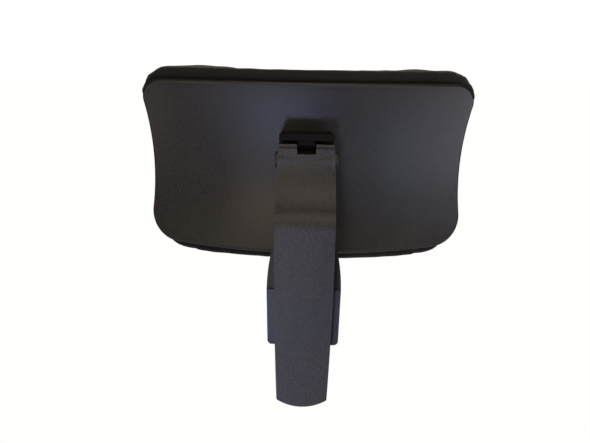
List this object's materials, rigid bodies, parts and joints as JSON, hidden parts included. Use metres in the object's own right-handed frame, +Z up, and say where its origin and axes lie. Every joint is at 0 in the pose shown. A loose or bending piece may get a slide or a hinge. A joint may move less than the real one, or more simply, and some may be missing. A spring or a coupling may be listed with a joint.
{
  "type": "chair headrest",
  "caption": "Padded headrest on a curved arm that slides up and down on a bolt-on bracket and tilts about a friction hinge.",
  "frame": {"origin": "centre of the two mounting bolts, on the bracket's flat front face", "axes": "+Z up, +Y to the rear of the chair, +X across the chair; the sitter is on the -Y side"},
  "size_m": [0.3052, 0.1435, 0.2947],
  "materials": {
    "shell_plastic": "fine grained satin",
    "arm_plastic": "spark-eroded grain",
    "black_nylon": "fine grained",
    "board_plastic": "plain",
    "dark_acetal": "smooth",
    "zinc_steel": "zinc plated",
    "spring_steel": "oiled",
    "foam": "moulded foam",
    "black_fabric": "knitted"
  },
  "bodies": {
    "bracket": {"mount_bracket": "black_nylon", "load_plate": "zinc_steel", "slide_block": "dark_acetal", "slide_block_screws": "zinc_steel", "detent_spring": "spring_steel", "detent_spring_screw": "zinc_steel", "travel_stop_pin": "zinc_steel"},
    "arm": {"arm_shell": "arm_plastic", "slide_rail": "dark_acetal", "rail_screws": "zinc_steel", "arm_front_cover": "black_nylon", "front_cover_screws": "zinc_steel", "arm_stiffener": "zinc_steel", "stiffener_screws": "zinc_steel", "arm_end_cap": "black_nylon", "end_cap_screw": "zinc_steel", "hinge_bushes": "dark_acetal"},
    "headrest": {"rear_shell": "shell_plastic", "hinge_housing": "shell_plastic", "hinge_backing_plate": "zinc_steel", "housing_screws": "zinc_steel", "hinge_bolt": "zinc_steel", "disc_springs": "spring_steel", "hinge_lock_nut": "zinc_steel", "friction_washers": "dark_acetal", "hinge_end_caps": "arm_plastic", "cushion_board": "board_plastic", "cushion_clips": "black_nylon", "cushion_foam": "foam", "cushion_cover": "black_fabric", "cover_staples": "spring_steel"}
  },
  "joints": [
    {"name": "height_slide", "type": "slide", "parent": "bracket", "child": "arm", "axis": [0, 0, 1], "range_m": [0, 0.045], "deforming": ["detent_spring"]},
    {"name": "head_tilt", "type": "hinge", "parent": "arm", "child": "headrest", "pos_m": [0, -0.012, 0.126], "axis": [1, 0, 0], "range_deg": [-28, 11]}
  ]
}
